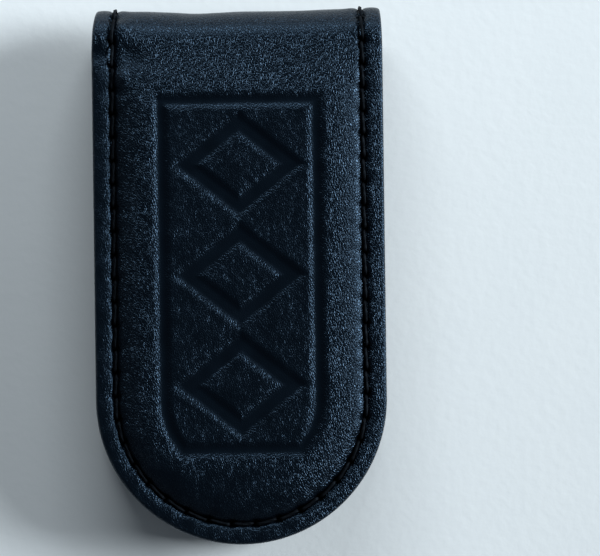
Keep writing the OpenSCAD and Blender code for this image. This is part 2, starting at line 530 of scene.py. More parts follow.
@dataclass(frozen=True)
class LiningRelief:
    """Heights of the lining's face, measured outwards from the strap."""

    sway: Sway = Sway()
    round_r: float = 0.3
    valley: float = 0.17
    valley_width: float = 0.4
    pit: float = 0.4
    pit_width: float = 0.36
    magnet_r: float = 7.5
    magnet_s: tuple[float, ...] = field(default_factory=STRAP.magnets)
    ring: float = 0.05
    ring_width: float = 0.8
    uneven: Ripple = Ripple(21, 0.035, 8.0, 2.5)
    wrinkle: float = 0.05
    wrinkle_pitch: float = 1.25
    wrinkle_length: float = 4.6
    wrinkle_fade: Pair = (0.5, 2.0)
    wander: float = 0.35
    wander_seed: int = 22
    wander_length: float = 7.0

    def pits(self, spots: Spots) -> Array:
        """Share of a needle hole's depth, 1 at its middle."""
        return spots.hole(self.pit_width)

    def calmed(self, spots: Spots) -> Array:
        """Share of wear where the notes rub over the magnets."""
        rings = [np.hypot(spots.u, np.abs(spots.s) - s) for s in self.magnet_s]
        return sum(bell(r - self.magnet_r, self.ring_width) for r in rings)

    def height(self, spots: Spots) -> Array:
        """Height of the face.

        Args:
            spots: Points of the face.

        Returns:
            Millimetres above the plain level.
        """
        w, s = spots.inset, spots.s
        height = -self.valley * bell(w - STRAP.stitch_inset, self.valley_width)
        height -= self.pit * self.pits(spots) + rounding(w, self.round_r)
        height += self.ring * self.calmed(spots)
        height += self.uneven.on(spots)
        wander = self.wander * waves(spots.u, s, self.wander_seed, self.wander_length)
        folds = self.wrinkle * np.sin(math.tau * (s / self.wrinkle_pitch + wander))
        return height + folds * bell(s, self.wrinkle_length) * ramp(w, *self.wrinkle_fade)


class Role(Enum):
    """What a stretch of a layer's section is, which is also its material's place in the list."""

    FACE = 0
    EDGE = 1
    BACK = 2


@dataclass(frozen=True)
class Section:
    """Half of a layer's section, from the middle of its face round the edge to the middle of its back.

    Heights are outwards from the strap's neutral line on the layer's own side.
    """

    insets: Array
    levels: Array
    roles: tuple[Role, ...]

    @classmethod
    def build(cls, face: Sequence[float], level: float, walls: Sequence[Pair],
              backs: Sequence[Pair]) -> "Section":
        """Joins the three stretches.

        Args:
            face: Insets on the face, from the middle to the edge.
            level: Level of the face.
            walls: Inset and level of each point down the edge.
            backs: Inset and level of each point across the back.

        Returns:
            The section.
        """
        points = [(w, level) for w in face] + [*walls, *backs]
        counts = ((Role.FACE, len(face)), (Role.EDGE, len(walls)), (Role.BACK, len(backs)))
        roles = tuple(role for role, count in counts for _ in range(count))
        return cls(*np.array(points).T, roles)

    @property
    def faces(self) -> int:
        """Number of points on the face."""
        return self.roles.count(Role.FACE)


def graded(stops: Sequence[Pair], last: float) -> list[float]:
    """Insets from the edge to the middle, with a step for each stretch.

    Args:
        stops: Start and step of each stretch, in millimetres.
        last: Inset of the middle.

    Returns:
        Insets from the middle to the edge.
    """
    ends = [start for start, _ in stops[1:]] + [last]
    found: list[float] = []
    for (start, step), end in zip(stops, ends):
        count = max(1, round((end - start) / step))
        found += [start + (end - start) * i / count for i in range(count)]
    return [*found, last][::-1]


@dataclass(frozen=True)
class Run:
    """Stations along one stretch of a layer: rows down a side, spokes round the end, or both."""

    s: Array
    cos: Array
    sin: Array
    sigma: Array

    @classmethod
    def side(cls, rows: Array, sign: int) -> "Run":
        """Rows along one side of the strap, where sign is -1 for the left and 1 for the right."""
        return cls(rows, np.full(len(rows), float(sign)), np.zeros(len(rows)), rows)

    @classmethod
    def round_flap(cls, flap: Flap, seam: float, step: float) -> "Run":
        """Rows down the left side, spokes round the end and rows up the right side.

        Args:
            flap: The flap.
            seam: Place along the strap of the flap's seam.
            step: Distance between stations on the outline.

        Returns:
            The stations in order.
        """
        end = flap.value * STRAP.end_s
        rows = np.linspace(seam, end, round(abs(end - seam) / step) + 1)
        angles = np.linspace(math.pi, 0, round(math.pi * STRAP.half_w / step) + 1)[1:-1]
        arc = np.minimum(angles, math.pi - angles) * STRAP.stitch_r
        return cls(
            np.concatenate([rows, np.full(len(angles), end), rows[::-1]]),
            np.concatenate([np.full(len(rows), -1.0), np.cos(angles), np.ones(len(rows))]),
            np.concatenate([np.zeros(len(rows)), flap.value * np.sin(angles), np.zeros(len(rows))]),
            np.concatenate([rows, end + flap.value * arc, rows[::-1]]),
        )

    def spots(self, insets: Array) -> Spots:
        """Points at the given insets of every station.

        Args:
            insets: Insets from the edge.

        Returns:
            Points as stations by insets.
        """
        reach = STRAP.half_w - insets[None, :]
        u, s = reach * self.cos[:, None], self.s[:, None] + reach * self.sin[:, None]
        shape = np.broadcast(u, s).shape
        sigma = np.broadcast_to(self.sigma[:, None], shape)
        return Spots(u, s, np.broadcast_to(insets, shape), sigma)


@dataclass
class MeshParts:
    """Vertices, faces and per-point values of one piece before it becomes a mesh."""

    points: Array
    faces: list[Face]
    materials: list[int]
    uv: Array
    values: dict[str, Array] = field(default_factory=dict)
    normals: dict[int, Array] = field(default_factory=dict)

    def make(self, name: str, materials: Sequence[bpy.types.Material],
             sharp: float) -> bpy.types.Object:
        """Makes the object, in metres.

        Args:
            name: Name of the piece.
            materials: Its materials, in the order of the faces' numbers.
            sharp: Angle in degrees above which an edge is sharp.

        Returns:
            The linked object.
        """
        mesh = bpy.data.meshes.new(name)
        mesh.from_pydata((self.points * MM).tolist(), [], self.faces)
        mesh.polygons.foreach_set("material_index", self.materials)
        mesh.polygons.foreach_set("use_smooth", [True] * len(self.faces))
        corners = np.zeros(len(mesh.loops), np.int32)
        mesh.loops.foreach_get("vertex_index", corners)
        places = self.uv[corners].astype(np.float32).ravel()
        mesh.uv_layers.new(name=UV_NAME).data.foreach_set("uv", places)
        for label, values in self.values.items():
            attribute = mesh.attributes.new(label, "FLOAT", "POINT")
            attribute.data.foreach_set("value", values.astype(np.float32))
        for material in materials:
            mesh.materials.append(material)
        mesh.update()
        mesh.set_sharp_from_angle(angle=math.radians(sharp))
        if self.normals:
            self.set_normals(mesh, corners)
        thing = bpy.data.objects.new(name, mesh)
        bpy.context.scene.collection.objects.link(thing)
        return thing

    def set_normals(self, mesh: bpy.types.Mesh, corners: Array) -> None:
        """Gives the points at a seam the whole surface's normals, so that the seam doesn't show.

        Args:
            mesh: The mesh.
            corners: Vertex of each face corner.
        """
        custom = np.zeros((len(corners), 3), np.float32)
        for polygon in mesh.polygons:
            if polygon.material_index == Role.FACE.value and len(polygon.vertices) <= 4:
                for corner in polygon.loop_indices:
                    normal = self.normals.get(int(corners[corner]))
                    if normal is not None:
                        custom[corner] = normal
        mesh.normals_split_custom_set(custom.tolist())


@dataclass(frozen=True)
class Layer:
    """One layer of leather, cut into pieces at the seams between links."""

    name: str
    section: Section
    relief: OuterRelief | LiningRelief
    outward: int
    blend_r: float
    slot: str
    replaced: tuple[str, str]
    materials: tuple[bpy.types.Material, ...]
    steps: tuple[float, float, float]
    pocket: tuple[float, float, float] | None = None
    sharp: float = 58.0
    edge_points: int = 6

    def heights(self, spots: Spots) -> tuple[Array, Array]:
        """Where the section's points lie.

        Args:
            spots: The points, as stations by points of the section.

        Returns:
            Their positions across and their heights.
        """
        levels = np.broadcast_to(self.section.levels, spots.u.shape).copy()
        n = self.section.faces
        levels[:, :n] += self.outward * self.relief.height(spots.first(n))
        if self.pocket:
            inset, end, level = self.pocket
            back = np.array([role is Role.BACK for role in self.section.roles])
            over = back[None, :] & (spots.inset > inset) & (np.abs(self.station_s(spots)) > end)
            levels = np.where(over, level, levels)
        narrow, sag = self.relief.sway.bend(spots)
        return spots.u * narrow, levels + sag

    @staticmethod
    def station_s(spots: Spots) -> Array:
        """Place along the strap of each point's station, from the point in the middle."""
        return np.broadcast_to(spots.s[:, :1], spots.s.shape)

    def shell(self, runs: Sequence[Run]) -> MeshParts:
        """Closed shell over some runs of stations.

        Args:
            runs: One run round a flap, or the left and right runs of a link.

        Returns:
            The shell.
        """
        spots = Spots.join([run.spots(self.section.insets) for run in runs])
        u, h = self.heights(spots)
        points = STRAP.place(u, spots.s, h).reshape(-1, 3)
        rows, columns = spots.u.shape
        ids = np.arange(rows * columns).reshape(rows, columns)
        for column in (0, columns - 1):
            along = np.round(spots.s[:, column], 5)
            _, first, where = np.unique(along, return_index=True, return_inverse=True)
            ids[:, column] = ids[first[where.ravel()], column]
        faces, materials = self.walls(runs, ids)
        caps = self.caps(runs, ids)
        faces += caps
        materials += [Role.EDGE.value] * len(caps)
        is_edge = np.array([role is Role.EDGE for role in self.section.roles])
        fall = is_edge * np.clip(self.section.levels[0] - self.section.levels, 0, None)
        uv_u = spots.u + np.sign(spots.u) * fall[None, :]
        values = {"press": self.values(spots, self.relief.calmed),
                  "pit": self.values(spots, self.relief.pits),
                  "inset": spots.inset.reshape(-1).copy()}
        uv = np.stack([uv_u, spots.s], -1).reshape(-1, 2)
        shell = MeshParts(points, faces, materials, uv, values)
        self.smooth_seams(runs, spots, ids, shell)
        return self.compact(shell)

    def values(self, spots: Spots, share: Callable[[Spots], Array]) -> Array:
        """A value on the face's points, and 0 on the others.

        Args:
            spots: The points.
            share: Gives the value.

        Returns:
            One value for each point.
        """
        n = self.section.faces
        found = np.zeros(spots.u.shape)
        found[:, :n] = share(spots.first(n))
        return found.reshape(-1)

    def walls(self, runs: Sequence[Run], ids: Array) -> tuple[list[Face], list[int]]:
        """Faces between neighbouring stations.

        Args:
            runs: The runs.
            ids: Vertex of each station and section point.

        Returns:
            The faces and their materials.
        """
        faces: list[Face] = []
        materials: list[int] = []
        start = 0
        for run in runs:
            block = ids[start:start + len(run.s)]
            start += len(run.s)
            near, far = block[:-1], block[1:]
            quads = np.stack([near[:, :-1], near[:, 1:], far[:, 1:], far[:, :-1]], -1)
            for row in quads.tolist():
                for role, quad in zip(self.section.roles, row):
                    faces.append(tuple(dict.fromkeys(quad)))
                    materials.append(role.value)
        return faces, materials

    @staticmethod
    def caps(runs: Sequence[Run], ids: Array) -> list[Face]:
        """Flat faces that close the shell at its seams.

        Args:
            runs: The runs.
            ids: Vertex of each station and section point.

        Returns:
            One face for each seam.
        """
        ends = [(0, len(ids) - 1)]
        if len(runs) == 2:
            left = len(runs[0].s)
            ends.append((left, left - 1))
        loops = [[*ids[b].tolist(), *ids[a][::-1].tolist()] for a, b in ends]
        return [tuple(dict.fromkeys(loop)) for loop in loops]

    def smooth_seams(self, runs: Sequence[Run], spots: Spots, ids: Array, shell: MeshParts) -> None:
        """Finds the face's normals at the seams, except for the points nearest the edge.

        Args:
            runs: The runs.
            spots: The points.
            ids: Vertex of each station and section point.
            shell: Takes the normals.
        """
        left = len(runs[0].s)
        rows = {0, len(ids) - 1} | ({left - 1, left} if len(runs) == 2 else set())
        n, tiny = self.section.faces, 0.02
        for row in rows:
            sign = 1.0 if spots.u[row, n // 2] > 0 else -1.0
            place = {}
            for key, du, ds in (("a", tiny, 0), ("b", -tiny, 0), ("c", 0, tiny), ("d", 0, -tiny)):
                s = np.full((1, len(self.section.insets)), spots.s[row, 0] + ds)
                inset = np.clip(self.section.insets - sign * du, 0, None)[None, :]
                near = Spots(sign * (STRAP.half_w - inset), s, inset, s)
                u, h = self.heights(near)
                place[key] = STRAP.place(u, s, h)[0]
            normal = np.cross(place["c"] - place["d"], place["a"] - place["b"])
            normal /= np.linalg.norm(normal, axis=1)[:, None] + 1e-12
            middle = np.array([0, STRAP.fold_y, STRAP.fold_z])
            if np.dot(normal[0], place["a"][0] - middle) * self.outward < 0:
                normal = -normal
            for column in range(n - self.edge_points):
                shell.normals[int(ids[row, column])] = normal[column]

    @staticmethod
    def compact(shell: MeshParts) -> MeshParts:
        """Leaves out the points that no face uses.

        Args:
            shell: The shell.

        Returns:
            The shell with its points renumbered.
        """
        used = sorted({v for f in shell.faces for v in f})
        new = {old: i for i, old in enumerate(used)}
        return MeshParts(
            shell.points[used],
            [tuple(new[v] for v in f) for f in shell.faces],
            shell.materials,
            shell.uv[used],
            {k: v[used] for k, v in shell.values.items()},
            {new[k]: v for k, v in shell.normals.items() if k in new},
        )

    def runs(self, piece: int) -> list[Run]:
        """Stations of a piece.

        Args:
            piece: Its number, counted from the back flap's, which is 1.

        Returns:
            One run round a flap, or the left and right runs of a link.
        """
        back, link, front = self.steps
        last = STRAP.links + 1
        if piece == 1:
            return [Run.round_flap(Flap.BACK, STRAP.seam(1), back)]
        if piece == last:
            return [Run.round_flap(Flap.FRONT, STRAP.seam(last - 1), front)]
        a, b = STRAP.seam(piece - 1), STRAP.seam(piece)
        rows = np.linspace(a, b, round((b - a) / link) + 1)
        return [Run.side(rows, -1), Run.side(rows[::-1], 1)]

    def build(self) -> list[bpy.types.Object]:
        """Makes the layer's pieces, which meet at the seams between the links.

        Returns:
            The pieces.
        """
        made = []
        for piece in range(1, STRAP.links + 2):
            name = f"{self.name}_{piece_name(piece)}"
            thing = self.shell(self.runs(piece)).make(name, self.materials, self.sharp)
            attach(thing, piece, self.blend_r, self.replaced)
            made.append(thing)
        return made


def piece_name(piece: int) -> str:
    """Name of a piece's place on the strap.

    Args:
        piece: Its number, counted from the back flap's, which is 1.

    Returns:
        The name.
    """
    if piece == 1:
        return "back_flap"
    return "front_flap" if piece == STRAP.links + 1 else f"fold_{piece - 1}"


def attach(thing: bpy.types.Object, piece: int, radius: float,
           replaced: tuple[str, str]) -> None:
    """Bakes a piece's transform into its mesh and hides the CAD nodes that it stands for.

    Args:
        thing: The piece.
        piece: Its number from the back flap.
        radius: Radius in the fold at which the bend starts and ends, in millimetres; not used.
        replaced: Names of the CAD nodes on a flap and in the fold, with room for the side or link.
    """
    for k in (piece - 1, piece):
        angle = k * STRAP.link_angle
        (STRAP.fold_y + radius * math.sin(angle)) * MM
        (STRAP.fold_z - radius * math.cos(angle)) * MM
    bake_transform(thing)
    on_flap, in_fold = replaced
    if piece == 1:
        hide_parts(on_flap.format("back"), in_fold.format(1))
    elif piece == STRAP.links + 1:
        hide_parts(on_flap.format("front"))
    else:
        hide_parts(in_fold.format(piece))
    LOG.info("%s: %d faces", thing.name, len(thing.data.polygons))


@dataclass(frozen=True)
class Thread:
    """A sewing thread: stitches that lie on one face of the strap and dip into the needle holes."""

    name: str
    outward: int
    level: float
    fold_lift: float
    blend_r: float
    replaced: tuple[str, str]
    material: bpy.types.Material
    radius: float = 0.25
    sink: float = 1.0
    slant: float = 0.09
    dip_share: Pair = (0.66, 1.06)
    droop: float = 0.06
    uneven: float = 0.03
    lay: float = 1.5
    plies: int = 3
    ply_depth: float = 0.13
    rings: int = 27
    least_rings: int = 8
    sides: int = 15
    sharp: float = 75.0
    uv_spread: float = 20.0

    def path(self, t: Array, lift: float) -> tuple[Array, Array]:
        """Line of one stitch.

        Args:
            t: Place along the stitch, from 0 at one hole to 1 at the next.
            lift: Height to add in the middle.

        Returns:
            Heights, and sideways shifts.
        """
        x = np.abs(2 * t - 1)
        dip = ramp(x, *self.dip_share)
        height = self.level + lift * (1 - x**4) - self.droop * x**2 - self.sink * dip
        return self.outward * height, self.slant * np.sin(math.pi * (t - 0.5)) * (1 - dip)

    def spot(self, sigma: Array, shift: Array, side: int) -> tuple[Array, Array]:
        """Strap coordinates of points beside the stitch line.

        Args:
            sigma: Distances along the stitch line, with the sign of s.
            shift: Sideways shifts.
            side: -1 for the left and 1 for the right.

        Returns:
            Positions across and along.
        """
        beyond = np.clip(np.abs(sigma) - STRAP.end_s, 0, None)
        turn = beyond / STRAP.stitch_r
        r = STRAP.stitch_r + shift
        s = np.sign(sigma) * (np.minimum(np.abs(sigma), STRAP.end_s) + r * np.sin(turn))
        return side * r * np.cos(turn), s

    def tube(self, sigma: Pair, side: int, share: Pair, seed: int) -> MeshParts:
        """Tube of one stitch or part of one.

        Args:
            sigma: The stitch's two holes, as distances along the stitch line.
            side: -1 for the left and 1 for the right.
            share: Part of the stitch to make, as shares of its length.
            seed: Seed of the small differences between stitches.

        Returns:
            The tube, closed at both ends.
        """
        rng = np.random.default_rng(seed)
        wobble, turn0 = rng.uniform(-1, 1, 2)
        count = max(self.least_rings, round(self.rings * (share[1] - share[0])))
        t = np.linspace(share[0], share[1], count)
        at = sigma[0] + (sigma[1] - sigma[0]) * t
        in_fold = abs(sigma[0] + sigma[1]) / 2 < STRAP.fold_s
        lift = self.fold_lift if in_fold else self.uneven * wobble
        tiny = 1e-3

        def line(offset: float) -> Array:
            """Centre line, moved along the stitch.

            Args:
                offset: How far, as a share of the stitch.

            Returns:
                Points in millimetres.
            """
            moved = np.clip(t + offset, 0, 1)
            height, shift = self.path(moved, lift)
            u, s = self.spot(sigma[0] + (sigma[1] - sigma[0]) * moved, shift, side)
            spots = Spots(u, s, np.full_like(u, STRAP.stitch_inset), at)
            narrow, sag = Sway().bend(spots)
            return STRAP.place(u * narrow, s, height + sag)

        centre = line(0.0)
        tangent = line(tiny) - line(-tiny)
        tangent /= np.linalg.norm(tangent, axis=1)[:, None]
        across = np.cross(tangent, np.broadcast_to((1.0, 0.0, 0.0), tangent.shape))
        if abs(sigma[0]) > STRAP.end_s or abs(sigma[1]) > STRAP.end_s:
            across = np.broadcast_to((0.0, 0.0, 1.0), tangent.shape)
            across = across - tangent * np.sum(across * tangent, axis=1)[:, None]
        across = across / np.linalg.norm(across, axis=1)[:, None]
        beside = np.cross(tangent, across)
        length = np.abs(at)[:, None]
        angle = np.linspace(0, math.tau, self.sides, endpoint=False)[None, :]
        twist = math.tau * length / self.lay / self.plies * side
        r = self.radius * (1 - self.ply_depth + self.ply_depth * np.cos(self.plies * (angle - twist)))
        out = (np.cos(angle)[..., None] * across[:, None]
               + np.sin(angle)[..., None] * beside[:, None])
        points = centre[:, None] + r[..., None] * out
        ids = np.arange(count * self.sides).reshape(count, self.sides)
        after = np.roll(ids, -1, axis=1)
        quads = np.stack([ids[:-1], after[:-1], after[1:], ids[1:]], -1).reshape(-1, 4)
        ends = (ids[0][::-1], ids[-1])
        faces = [tuple(q) for q in quads.tolist()] + [tuple(end.tolist()) for end in ends]
        around = angle * self.radius + self.uv_spread * turn0
        uv = np.stack(np.broadcast_arrays(around, length), -1)
        return MeshParts(points.reshape(-1, 3), faces, [0] * len(faces), uv.reshape(-1, 2))

    def stitches(self, piece: int) -> list[Stitch]:
        """Holes and share of each stitch that a piece holds on one side.

        Args:
            piece: Number of the piece from the back flap.

        Returns:
            Pairs of the stitch's holes and the part of it.
        """
        whole, last = (0.0, 1.0), STRAP.links + 1
        holes = [STRAP.seam(k) for k in range(1, last, 2)]
        if piece == 1:
            first, step = STRAP.first_hole(Flap.BACK), STRAP.pitch(Flap.BACK)
            return [((-first, holes[0]), whole)] + self.flap_stitches(Flap.BACK, first, step)
        if piece == last:
            first, step = STRAP.first_hole(Flap.FRONT), STRAP.pitch(Flap.FRONT)
            return [((holes[-1], first), (0.5, 1.0))] + self.flap_stitches(Flap.FRONT, first, step)
        start = holes[(piece - 2) // 2]
        share = (0.0, 0.5) if piece % 2 == 0 else (0.5, 1.0)
        return [((start, start + STRAP.fold_pitch), share)]

    @staticmethod
    def flap_stitches(flap: Flap, first: float, step: float) -> list[Stitch]:
        """Stitches from a flap's first hole to the middle of its tip, on one side.

        Args:
            flap: The flap.
            first: Distance of its first hole from the fold's middle.
            step: Length of a stitch.

        Returns:
            Pairs of the stitch's holes and the part of it.
        """
        half = STRAP.end_s - first + math.pi / 2 * STRAP.stitch_r
        found = []
        for i in range(math.ceil(half / step - 1e-6)):
            share = min(1.0, (half - i * step) / step)
            holes = (flap.value * (first + i * step), flap.value * (first + (i + 1) * step))
            found.append((holes, (0.0, share)))
        return found

    def build(self) -> list[bpy.types.Object]:
        """Makes the thread's pieces.

        Returns:
            The pieces.
        """
        made = []
        for piece in range(1, STRAP.links + 2):
            name = f"{self.name}_{piece_name(piece)}"
            tubes = [self.tube(holes, side, share, 1000 * piece + 7 * i + side)
                     for side in (-1, 1) for i, (holes, share) in enumerate(self.stitches(piece))]
            thing = join(tubes).make(name, (self.material,), self.sharp)
            attach(thing, piece, self.blend_r, self.replaced)
            made.append(thing)
        return made


def join(parts: Sequence[MeshParts]) -> MeshParts:
    """Puts several parts into one.

    Args:
        parts: The parts.

    Returns:
        One set of points and faces.
    """
    starts = np.cumsum([0] + [len(p.points) for p in parts])
    faces = [tuple(v + int(start) for v in f) for start, p in zip(starts, parts) for f in p.faces]
    materials = [m for p in parts for m in p.materials]
    points, uv = (np.concatenate(v) for v in zip(*((p.points, p.uv) for p in parts)))
    return MeshParts(points, faces, materials, uv)


@dataclass(frozen=True)
class Value:
    """One output socket, on which Python's operators add Math nodes."""

    shader: "Shader"
    socket: bpy.types.NodeSocket

    def math(self, operation: str, a: "Value | float", b: "Value | float") -> "Value":
        """Adds a Math node on two values."""
        return self.shader.node("ShaderNodeMath", {"operation": operation}, {0: a, 1: b})

    def __add__(self, other: "Value | float") -> "Value":
        """self + other."""
        return self.math("ADD", self, other)

    def __sub__(self, other: "Value | float") -> "Value":
        """self - other."""
        return self.math("SUBTRACT", self, other)

    def __rsub__(self, other: float) -> "Value":
        """other - self."""
        return self.math("SUBTRACT", other, self)

    def __mul__(self, other: "Value | float") -> "Value":
        """self * other."""
        return self.math("MULTIPLY", self, other)

    __radd__ = __add__
    __rmul__ = __mul__


class Shader:
    """Node tree of one material."""

    def __init__(self, name: str) -> None:
        """Starts an empty material.

        Args:
            name: Its name.
        """
        self.material = bpy.data.materials.new(name)
        self.material.use_nodes = True
        self.tree = self.material.node_tree
        self.tree.nodes.clear()

    def node(self, kind: str, settings: dict[str, Any] | None = None,
             inputs: dict[int | str, Any] | None = None, output: int | str = 0) -> Value:
        """Adds any node.

        Args:
            kind: The node's type.
            settings: Its properties, set first.
            inputs: Values or links of its sockets.
            output: Which output to hand back.

        Returns:
            The chosen output.
        """
        made = self.tree.nodes.new(kind)
        for key, value in (settings or {}).items():
            setattr(made, key, value)
        for key, value in (inputs or {}).items():
            if isinstance(value, Value):
                self.tree.links.new(value.socket, made.inputs[key])
            else:
                made.inputs[key].default_value = value
        return Value(self, made.outputs[output]) if made.outputs else Value(self, made.inputs[0])

    def uv(self) -> Value:
        """Strap coordinates in millimetres."""
        return self.node("ShaderNodeUVMap", {"uv_map": UV_NAME})

    def place(self) -> Value:
        """Place in the object, in metres."""
        return self.node("ShaderNodeTexCoord", output="Object")

    def attribute(self, name: str) -> Value:
        """A value stored on the mesh's points."""
        return self.node("ShaderNodeAttribute", {"attribute_name": name}, output="Fac")

    def turned(self, vector: Value, scale: tuple[float, float, float], angle: float = 0.0) -> Value:
        """Turns coordinates about Z, then scales them.

        Args:
            vector: The coordinates.
            scale: Factor on each axis.
            angle: Turn in degrees.

        Returns:
            The new coordinates.
        """
        return self.node("ShaderNodeMapping", {"vector_type": "TEXTURE"},
                         {0: vector, 2: (0.0, 0.0, math.radians(angle)), 3: tuple(1 / x for x in scale)})

    def shifted(self, vector: Value, by: Value, amount: float) -> Value:
        """Adds a scaled colour to coordinates, to warp them."""
        scaled = self.node("ShaderNodeVectorMath", {"operation": "SCALE"}, {0: by, 3: amount})
        return self.node("ShaderNodeVectorMath", {"operation": "ADD"}, {0: vector, 1: scaled})

    def noise(self, vector: Value, scale: float, detail: float = 2.0,
              output: int | str = 0) -> Value:
        """Noise texture from 0 to 1."""
        return self.node("ShaderNodeTexNoise", {"noise_dimensions": "3D"},
                         {"Vector": vector, "Scale": scale, "Detail": detail}, output)

    def cells(self, vector: Value, scale: float, feature: str = "F1") -> Value:
        """Distances in a pattern of irregular cells."""
        return self.node("ShaderNodeTexVoronoi", {"voronoi_dimensions": "2D", "feature": feature},
                         {"Vector": vector, "Scale": scale}, "Distance")

    def step(self, value: Value, low: float, high: float) -> Value:
        """Smooth step of a value, from 0 at low to 1 at high."""
        return self.node("ShaderNodeMapRange", {"interpolation_type": "SMOOTHSTEP"},
                         {0: value, 1: low, 2: high, 3: 0.0, 4: 1.0})

    def mix(self, factor: Value, a: "Colour | Value", b: "Colour | Value") -> Value:
        """Mixes two colours."""
        ends = {key: c if isinstance(c, Value) else (*c, 1.0) for key, c in ((6, a), (7, b))}
        return self.node("ShaderNodeMix", {"data_type": "RGBA"}, {0: factor, **ends}, 2)

    def finish(self, colour: Value, roughness: Value, height: Value, depth: float,
               constants: dict[str, Any]) -> bpy.types.Material:
        """Adds the surface.

        Args:
            colour: Base colour.
            roughness: Roughness.
            height: Height of the bump, where 1 is depth.
            depth: Depth of the bump in millimetres.
            constants: Values of the shader's own sockets.

        Returns:
            The material.
        """
        bump = self.node("ShaderNodeBump", {},
                         {"Strength": 1.0, "Distance": depth * MM, "Height": height})
        surface = self.node("ShaderNodeBsdfPrincipled", {}, {
            "Base Color": colour, "Roughness": roughness, "Normal": bump, **constants})
        self.node("ShaderNodeOutputMaterial", {}, {"Surface": surface})
        return self.material


@dataclass(frozen=True)
class GrainedLeather:
    """Black grained leather, smooth where it is pressed, lighter along its edge: partly edge wear,
    partly a painted highlight.
    """

    name: str = "OuterLeather"
    dark: Colour = (0.0004, 0.0009, 0.0019)
    light: Colour = (0.0008, 0.0019, 0.0038)
    # Lighter colour for the outermost millimetre of the face: partly edge wear, partly a painted
    # highlight on the rounded edge.
    worn: Colour = (0.003, 0.005, 0.008)
    tint: Colour = (0.38, 0.65, 1.0)
    grain: float = 0.29
    depth: float = 0.055

    def build(self) -> bpy.types.Material:
        """Makes the material.

        Returns:
            The material.
        """
        shader = Shader(self.name)
        uv = shader.uv()
        warp = shader.noise(uv, 1.1, 1.0, "Color")
        bent = shader.shifted(uv, warp, 0.55)
        stretched = shader.turned(bent, (1.0, 0.72, 1.0), -24)
        pebbles = shader.cells(stretched, 1 / self.grain)
        creases = shader.cells(stretched, 1 / self.grain, "DISTANCE_TO_EDGE")
        fine = shader.noise(uv, 9.0, 2.0)
        patches = shader.noise(uv, 0.35, 1.0)
        press = shader.attribute("press")
        open_leather = 1 - press * 0.82
        dome = 1 - pebbles * 1.15
        grain = dome * 0.25 + shader.step(creases, 0.0, 0.3) * 0.75 + fine * 0.08
        height = grain * open_leather * (patches * 0.7 + 0.62)
        tone = shader.step(fine * 0.5 + patches * 0.5, 0.3, 0.7)
        colour = shader.mix(tone, self.dark, self.light)
        # Mask of the lighter edge colour, 1 at the edge and 0 from 1 mm in: partly edge wear, partly a
        # painted highlight.
        worn = shader.step(shader.attribute("inset"), 1.0, 0.0)
        colour = shader.mix(worn * 0.5, colour, self.worn)
        roughness = 0.26 + 0.08 * patches + 0.05 * press
        return shader.finish(colour, roughness, height, self.depth, {
            "Specular IOR Level": 0.36, "Specular Tint": (*self.tint, 1.0)})


@dataclass(frozen=True)
class SmoothLeather:
    """Smooth black lining leather with fine pores."""

    name: str = "LiningLeather"
    dark: Colour = (0.012, 0.0125, 0.014)
    light: Colour = (0.021, 0.021, 0.022)

    def build(self) -> bpy.types.Material:
        """Makes the material.

        Returns:
            The material.
        """
        shader = Shader(self.name)
        uv = shader.uv()
        bent = shader.shifted(uv, shader.noise(uv, 2.0, 1.0, "Color"), 0.3)
        pores = shader.cells(bent, 5.0)
        fine = shader.noise(uv, 6.0, 3.0)
        patches = shader.noise(shader.turned(uv, (0.12, 0.3, 1.0)), 1.0, 2.0)
        rub = shader.attribute("press")
        tone = shader.step(patches, 0.35, 0.65)
        colour = shader.mix(tone, self.dark, self.light)
        roughness = 0.62 - 0.15 * rub - 0.08 * patches
        height = shader.step(pores, 0.0, 0.35) * 0.5 + fine * 0.5
        return shader.finish(colour, roughness, height, 0.03, {"Specular IOR Level": 0.4})


@dataclass(frozen=True)
class EdgePaint:
    """Dyed and burnished cut edge, where the layers' fibres still show."""

    name: str = "LeatherEdge"
    dark: Colour = (0.008, 0.0095, 0.012)
    light: Colour = (0.02, 0.022, 0.025)

    def build(self) -> bpy.types.Material:
        """Makes the material.

        Returns:
            The material.
        """
        shader = Shader(self.name)
        uv = shader.uv()
        fibres = shader.noise(shader.turned(uv, (9.0, 1.6, 1.0)), 1.0, 3.0)
        patches = shader.noise(uv, 0.5, 2.0)
        colour = shader.mix(shader.step(patches, 0.4, 0.7), self.dark, self.light)
        roughness = 0.38 + 0.25 * fibres
        return shader.finish(colour, roughness, fibres, 0.05, {"Specular IOR Level": 0.5})


@dataclass(frozen=True)
class WaxedThread:
    """Black waxed thread with fine fibres along its plies."""

    name: str = "WaxedThread"
    dark: Colour = (0.0015, 0.0018, 0.0025)
    light: Colour = (0.005, 0.0055, 0.007)
    tint: Colour = (0.5, 0.75, 1.0)

    def build(self) -> bpy.types.Material:
        """Makes the material.

        Returns:
            The material.
        """
        shader = Shader(self.name)
        uv = shader.uv()
        fibres = shader.noise(shader.turned(uv, (14.0, 2.5, 1.0), 30), 1.0, 3.0)
        wax = shader.noise(uv, 0.8, 2.0)
        colour = shader.mix(wax, self.dark, self.light)
        roughness = 0.62 - 0.15 * wax
        return shader.finish(colour, roughness, fibres, 0.03, {
            "Specular IOR Level": 0.06, "Specular Tint": (*self.tint, 1.0)})


@dataclass(frozen=True)
class FibreBoard:
    """Brown pressed fibre board with flecks."""

    name: str = "FibreBoard"
    dark: Colour = (0.24, 0.16, 0.095)
    light: Colour = (0.42, 0.31, 0.2)

    def build(self) -> bpy.types.Material:
        """Makes the material.

        Returns:
            The material.
        """
        shader = Shader(self.name)
        place = shader.place()
        flecks = shader.noise(place, 900.0, 4.0)
        strands = shader.noise(shader.turned(place, (350.0, 2200.0, 900.0), 25), 1.0, 3.0)
        tone = shader.step(flecks * 0.6 + strands * 0.4, 0.35, 0.65)
        colour = shader.mix(tone, self.dark, self.light)
        return shader.finish(colour, 0.95 - 0.15 * flecks, flecks, 0.06, {"Specular IOR Level": 0.3})


